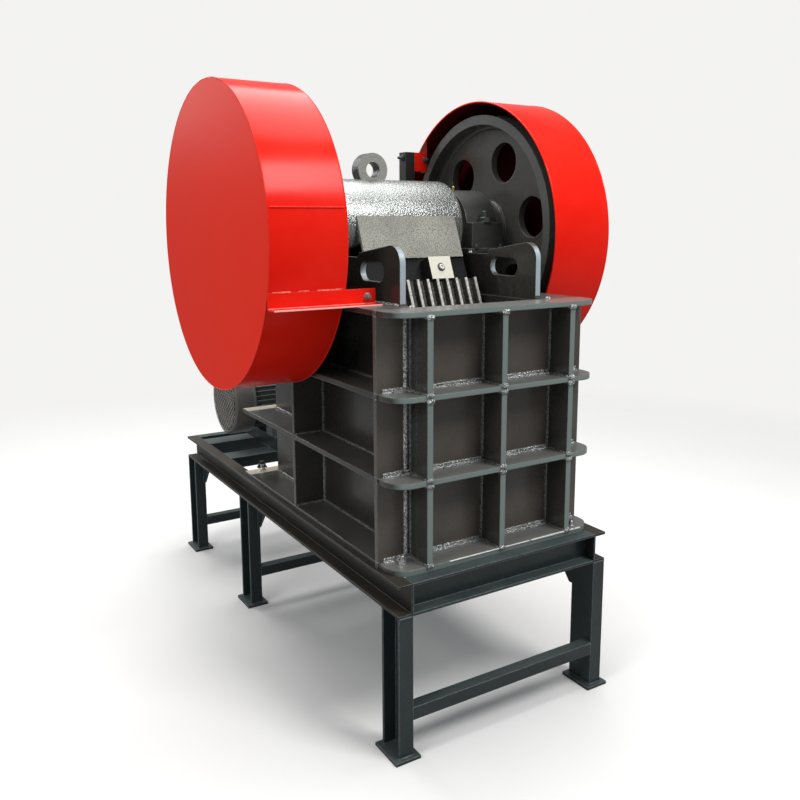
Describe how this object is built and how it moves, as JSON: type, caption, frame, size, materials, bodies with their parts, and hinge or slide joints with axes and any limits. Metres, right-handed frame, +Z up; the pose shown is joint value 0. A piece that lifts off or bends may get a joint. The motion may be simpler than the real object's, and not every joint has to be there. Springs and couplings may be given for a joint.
{
  "type": "jaw crusher",
  "caption": "Single-toggle jaw crusher with ribbed welded body, toothed jaws, guarded flywheels on an eccentric shaft and a motor, on a channel-steel stand.",
  "frame": {"origin": "centre of the overall footprint, on the floor", "axes": "+X along the main shaft, -Y the ribbed front with the fixed jaw, +Y the motor end, +Z up"},
  "size_m": [1.306, 2.012, 2.0329],
  "materials": {
    "red_paint": "gloss",
    "body_paint": "satin",
    "stand_paint": "satin",
    "head_paint": "hammered",
    "cast_jaw": "rough",
    "machined_steel": "brushed",
    "motor_paint": "satin"
  },
  "bodies": {
    "frame": {"side_rails": "stand_paint", "cross_rails": "stand_paint", "legs_front": "stand_paint", "legs_middle": "stand_paint", "legs_rear": "stand_paint", "leg_ties": "stand_paint", "motor_seat": "stand_paint", "front_belts": "body_paint", "left_belts": "body_paint", "right_belts": "body_paint", "rear_belts": "body_paint", "front_plate": "body_paint", "rear_plate": "body_paint", "left_wall": "body_paint", "right_wall": "body_paint", "front_ribs": "body_paint", "side_ribs": "body_paint", "fixed_jaw_plate": "cast_jaw", "cheek_plates": "cast_jaw", "left_bearing": "body_paint", "right_bearing": "body_paint", "left_guard": "red_paint", "right_guard": "red_paint", "guard_bracket": "red_paint", "guard_posts": "body_paint", "toggle_beam": "body_paint", "toggle_plate": "cast_jaw", "spring_seat": "body_paint", "return_spring": "machined_steel", "motor_body": "motor_paint", "fan_cover": "motor_paint", "motor_pulley": "motor_paint"},
    "rotor": {"main_shaft": "machined_steel", "left_flywheel": "body_paint", "right_flywheel": "body_paint"},
    "jaw": {"pitman": "head_paint", "moving_jaw_plate": "cast_jaw", "apron": "head_paint", "lifting_eye": "body_paint", "tension_rod": "machined_steel"}
  },
  "joints": [
    {"name": "rotor_spin", "type": "hinge", "parent": "frame", "child": "rotor", "pos_m": [0, -0.21, 1.55], "axis": [1, 0, 0], "continuous": true},
    {"name": "jaw_orbit", "type": "hinge", "parent": "rotor", "child": "jaw", "pos_m": [0, -0.2, 1.55], "axis": [1, 0, 0], "continuous": true}
  ],
  "couplings": [
    {"joint": "jaw_orbit", "follows": "rotor_spin", "ratio": -1}
  ]
}
